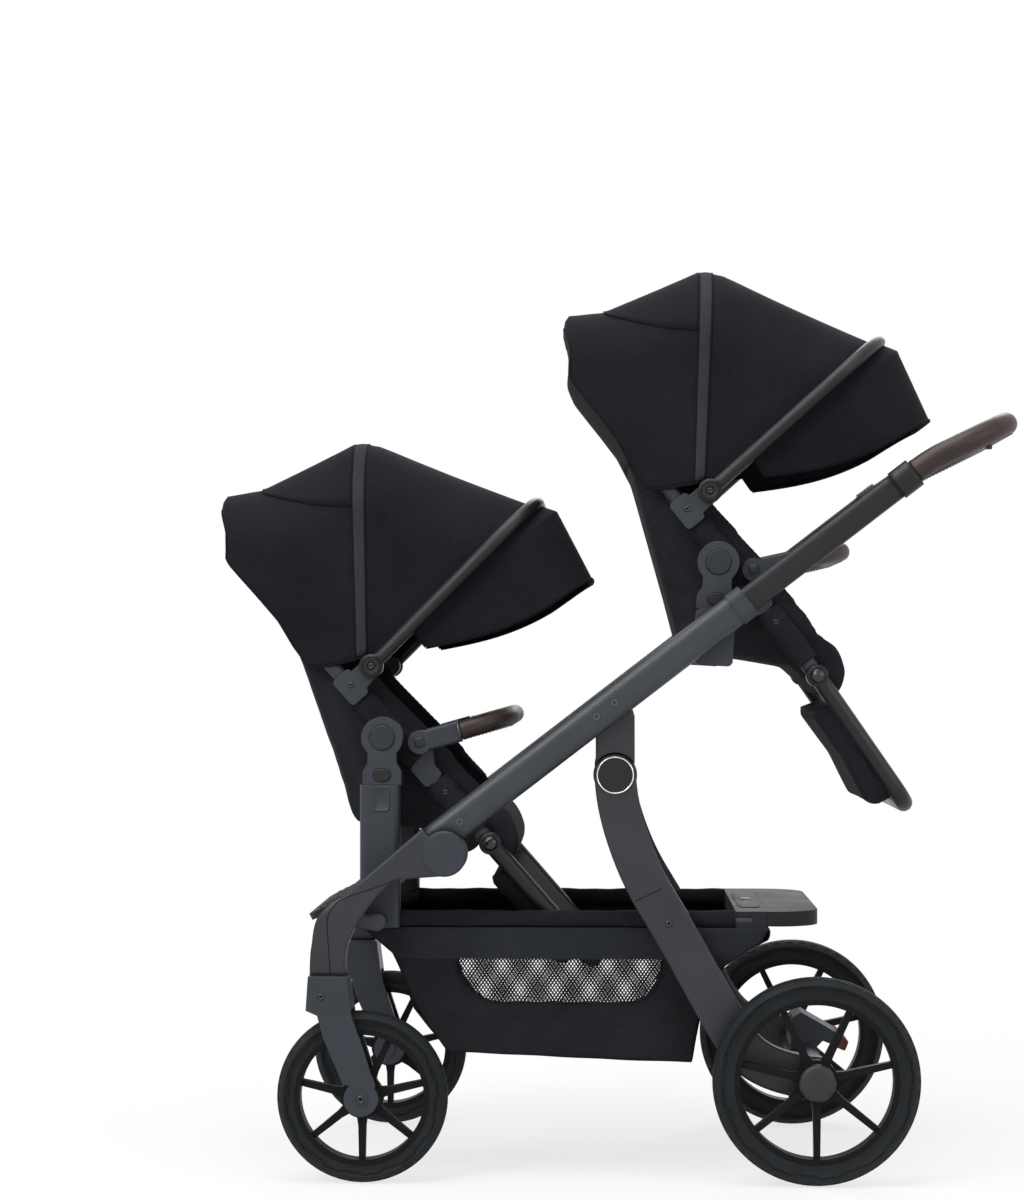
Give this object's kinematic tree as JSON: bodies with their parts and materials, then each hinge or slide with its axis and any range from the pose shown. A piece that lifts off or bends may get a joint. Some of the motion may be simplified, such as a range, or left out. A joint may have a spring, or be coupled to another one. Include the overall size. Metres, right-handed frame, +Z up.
{
  "type": "twin pram",
  "caption": "Tandem pram with two hooded seats one above the other on a folding wheeled chassis with a basket, swivelling front wheels and a telescoping handle",
  "frame": {"origin": "On the floor, at the centre of the pram's bounding box", "axes": "+X towards the handle, +Y to the pram's far side in the reference view, +Z up; the front wheels are at -X"},
  "size_m": [1.139, 0.608, 1.2965],
  "materials": {
    "frame_paint": "satin anthracite powder coat",
    "plastic": "fine-grained satin black",
    "wheel_plastic": "satin black",
    "tyre": "matt black with a plain tread",
    "leather": "dark brown with a seam",
    "canopy_fabric": "fine black weave",
    "seat_fabric": "soft black weave",
    "basket_fabric": "black weave with net windows",
    "webbing": "ribbed black webbing and plastic",
    "screw_steel": "dark steel",
    "axle_steel": "plain steel",
    "cap_gloss": "gloss black with a bright ring"
  },
  "bodies": {
    "chassis": {"main_rails": "frame_paint", "rail_collars": "plastic", "leg_brackets": "frame_paint", "front_knuckles": "plastic", "upper_seat_sockets": "plastic", "upper_adapters": "plastic", "frame_screws": "screw_steel"},
    "handle": {"handle_tube": "frame_paint", "handle_grip": "leather"},
    "handle_button": {"handle_button": "plastic"},
    "rear_legs": {"rear_legs": "frame_paint", "pivot_caps": "cap_gloss", "rear_axle_housing": "frame_paint", "rear_axle": "axle_steel"},
    "brake_pedal": {"brake_pedal": "plastic"},
    "rear_wheel_left": {"rear_tyre_left": "tyre", "rear_rim_left": "wheel_plastic"},
    "rear_wheel_right": {"rear_tyre_right": "tyre", "rear_rim_right": "wheel_plastic"},
    "front_legs": {"front_legs": "frame_paint"},
    "fork_left": {"fork_left": "plastic"},
    "fork_right": {"fork_right": "plastic"},
    "front_wheel_left": {"front_tyre_left": "tyre", "front_rim_left": "wheel_plastic"},
    "front_wheel_right": {"front_tyre_right": "tyre", "front_rim_right": "wheel_plastic"},
    "side_frame": {"side_tubes": "frame_paint", "seat_posts": "plastic", "basket": "basket_fabric", "rear_tray": "plastic", "front_footrest": "plastic", "lower_adapters": "plastic"},
    "lower_seat": {"lower_seat_frame": "frame_paint", "lower_seat_pad": "seat_fabric", "lower_harness": "webbing", "lower_canopy": "canopy_fabric"},
    "lower_canopy_front": {"lower_canopy_bow": "frame_paint", "lower_canopy_visor": "canopy_fabric"},
    "lower_bumper": {"lower_bumper_bar": "frame_paint", "lower_bumper_grip": "leather"},
    "lower_leg_rest": {"lower_leg_rest": "frame_paint", "lower_leg_pad": "seat_fabric"},
    "lower_hub_button_left": {"lower_hub_button_left": "plastic"},
    "lower_release_button_left": {"lower_release_button_left": "plastic"},
    "lower_hub_button_right": {"lower_hub_button_right": "plastic"},
    "lower_release_button_right": {"lower_release_button_right": "plastic"},
    "upper_seat": {"upper_seat_frame": "frame_paint", "upper_seat_pad": "seat_fabric", "upper_harness": "webbing", "upper_canopy": "canopy_fabric"},
    "upper_canopy_front": {"upper_canopy_bow": "frame_paint", "upper_canopy_visor": "canopy_fabric"},
    "upper_bumper": {"upper_bumper_bar": "frame_paint", "upper_bumper_grip": "leather"},
    "upper_leg_rest": {"upper_leg_rest": "frame_paint", "upper_leg_pad": "seat_fabric"},
    "upper_hub_button_left": {"upper_hub_button_left": "plastic"},
    "upper_release_button_left": {"upper_release_button_left": "plastic"},
    "upper_hub_button_right": {"upper_hub_button_right": "plastic"},
    "upper_release_button_right": {"upper_release_button_right": "plastic"}
  },
  "joints": [
    {"name": "front_fold", "type": "hinge", "parent": "chassis", "child": "front_legs", "pos_m": [-0.244, 0, 0.46], "axis": [0, -1, 0], "range_deg": [0, 45]},
    {"name": "rear_fold", "type": "hinge", "parent": "chassis", "child": "rear_legs", "pos_m": [-0.0046, 0, 0.569], "axis": [0, -1, 0], "range_deg": [0, 27.9]},
    {"name": "side_frame_fold", "type": "hinge", "parent": "front_legs", "child": "side_frame", "pos_m": [-0.34, 0, 0.363], "axis": [0, -1, 0], "range_deg": [-32.4, 0]},
    {"name": "handle_slide", "type": "slide", "parent": "chassis", "child": "handle", "axis": [0.7934, 0, 0.6088], "range_m": [-0.15, 0]},
    {"name": "handle_button_press", "type": "slide", "parent": "handle", "child": "handle_button", "axis": [0, 0, 1], "range_m": [0, 0.003], "stiffness_N_per_m": 300, "springref_m": -0.002},
    {"name": "brake_pedal_tip", "type": "hinge", "parent": "rear_legs", "child": "brake_pedal", "pos_m": [0.275, 0, 0.145], "axis": [0, -1, 0], "range_deg": [-15, 0]},
    {"name": "rear_wheel_left_spin", "type": "hinge", "parent": "rear_legs", "child": "rear_wheel_left", "pos_m": [0.275, -0.278, 0.145], "axis": [0, 1, 0], "continuous": true},
    {"name": "fork_left_swivel", "type": "hinge", "parent": "front_legs", "child": "fork_left", "pos_m": [-0.406, -0.268, 0.29], "axis": [0, 0, 1], "continuous": true},
    {"name": "front_wheel_left_spin", "type": "hinge", "parent": "fork_left", "child": "front_wheel_left", "pos_m": [-0.359, -0.268, 0.12], "axis": [0, 1, 0], "continuous": true},
    {"name": "rear_wheel_right_spin", "type": "hinge", "parent": "rear_legs", "child": "rear_wheel_right", "pos_m": [0.275, 0.278, 0.145], "axis": [0, 1, 0], "continuous": true},
    {"name": "fork_right_swivel", "type": "hinge", "parent": "front_legs", "child": "fork_right", "pos_m": [-0.406, 0.268, 0.29], "axis": [0, 0, 1], "continuous": true},
    {"name": "front_wheel_right_spin", "type": "hinge", "parent": "fork_right", "child": "front_wheel_right", "pos_m": [-0.359, 0.268, 0.12], "axis": [0, 1, 0], "continuous": true},
    {"name": "lower_seat_recline", "type": "hinge", "parent": "side_frame", "child": "lower_seat", "pos_m": [-0.3355, 0, 0.621], "axis": [0, -1, 0], "range_deg": [-5, 25]},
    {"name": "lower_canopy_fold", "type": "hinge", "parent": "lower_seat", "child": "lower_canopy_front", "pos_m": [-0.3528, 0, 0.7226], "axis": [0, -1, 0], "range_deg": [0, 70], "deforming": ["lower_canopy"]},
    {"name": "lower_bumper_tilt", "type": "hinge", "parent": "lower_seat", "child": "lower_bumper", "pos_m": [-0.2835, 0, 0.614], "axis": [0, -1, 0], "range_deg": [-30, 10]},
    {"name": "lower_leg_rest_raise", "type": "hinge", "parent": "lower_seat", "child": "lower_leg_rest", "pos_m": [-0.1835, 0, 0.469], "axis": [0, -1, 0], "range_deg": [0, 45]},
    {"name": "lower_hub_button_left_press", "type": "slide", "parent": "side_frame", "child": "lower_hub_button_left", "axis": [0, 1, 0], "range_m": [0, 0.003], "stiffness_N_per_m": 250, "springref_m": -0.002},
    {"name": "lower_release_button_left_press", "type": "slide", "parent": "side_frame", "child": "lower_release_button_left", "axis": [0, 1, 0], "range_m": [0, 0.0025], "stiffness_N_per_m": 250, "springref_m": -0.002},
    {"name": "lower_hub_button_right_press", "type": "slide", "parent": "side_frame", "child": "lower_hub_button_right", "axis": [0, -1, 0], "range_m": [0, 0.003], "stiffness_N_per_m": 250, "springref_m": -0.002},
    {"name": "lower_release_button_right_press", "type": "slide", "parent": "side_frame", "child": "lower_release_button_right", "axis": [0, -1, 0], "range_m": [0, 0.0025], "stiffness_N_per_m": 250, "springref_m": -0.002},
    {"name": "upper_seat_recline", "type": "hinge", "parent": "chassis", "child": "upper_seat", "pos_m": [0.142, 0, 0.87], "axis": [0, -1, 0], "range_deg": [-2, 20]},
    {"name": "upper_canopy_fold", "type": "hinge", "parent": "upper_seat", "child": "upper_canopy_front", "pos_m": [0.13093, 0, 0.97247], "axis": [0, -1, 0], "range_deg": [0, 70], "deforming": ["upper_canopy"]},
    {"name": "upper_bumper_tilt", "type": "hinge", "parent": "upper_seat", "child": "upper_bumper", "pos_m": [0.19348, 0, 0.85984], "axis": [0, -1, 0], "range_deg": [-30, 10]},
    {"name": "upper_leg_rest_raise", "type": "hinge", "parent": "upper_seat", "child": "upper_leg_rest", "pos_m": [0.28444, 0, 0.709], "axis": [0, -1, 0], "range_deg": [0, 45]},
    {"name": "upper_hub_button_left_press", "type": "slide", "parent": "chassis", "child": "upper_hub_button_left", "axis": [0, 1, 0], "range_m": [0, 0.003], "stiffness_N_per_m": 250, "springref_m": -0.002},
    {"name": "upper_release_button_left_press", "type": "slide", "parent": "chassis", "child": "upper_release_button_left", "axis": [0, 1, 0], "range_m": [0, 0.0025], "stiffness_N_per_m": 250, "springref_m": -0.002},
    {"name": "upper_hub_button_right_press", "type": "slide", "parent": "chassis", "child": "upper_hub_button_right", "axis": [0, -1, 0], "range_m": [0, 0.003], "stiffness_N_per_m": 250, "springref_m": -0.002},
    {"name": "upper_release_button_right_press", "type": "slide", "parent": "chassis", "child": "upper_release_button_right", "axis": [0, -1, 0], "range_m": [0, 0.0025], "stiffness_N_per_m": 250, "springref_m": -0.002}
  ],
  "couplings": [
    {"joint": "rear_fold", "follows": "front_fold", "ratio": 0.58},
    {"joint": "side_frame_fold", "follows": "front_fold", "ratio": -0.7}
  ]
}
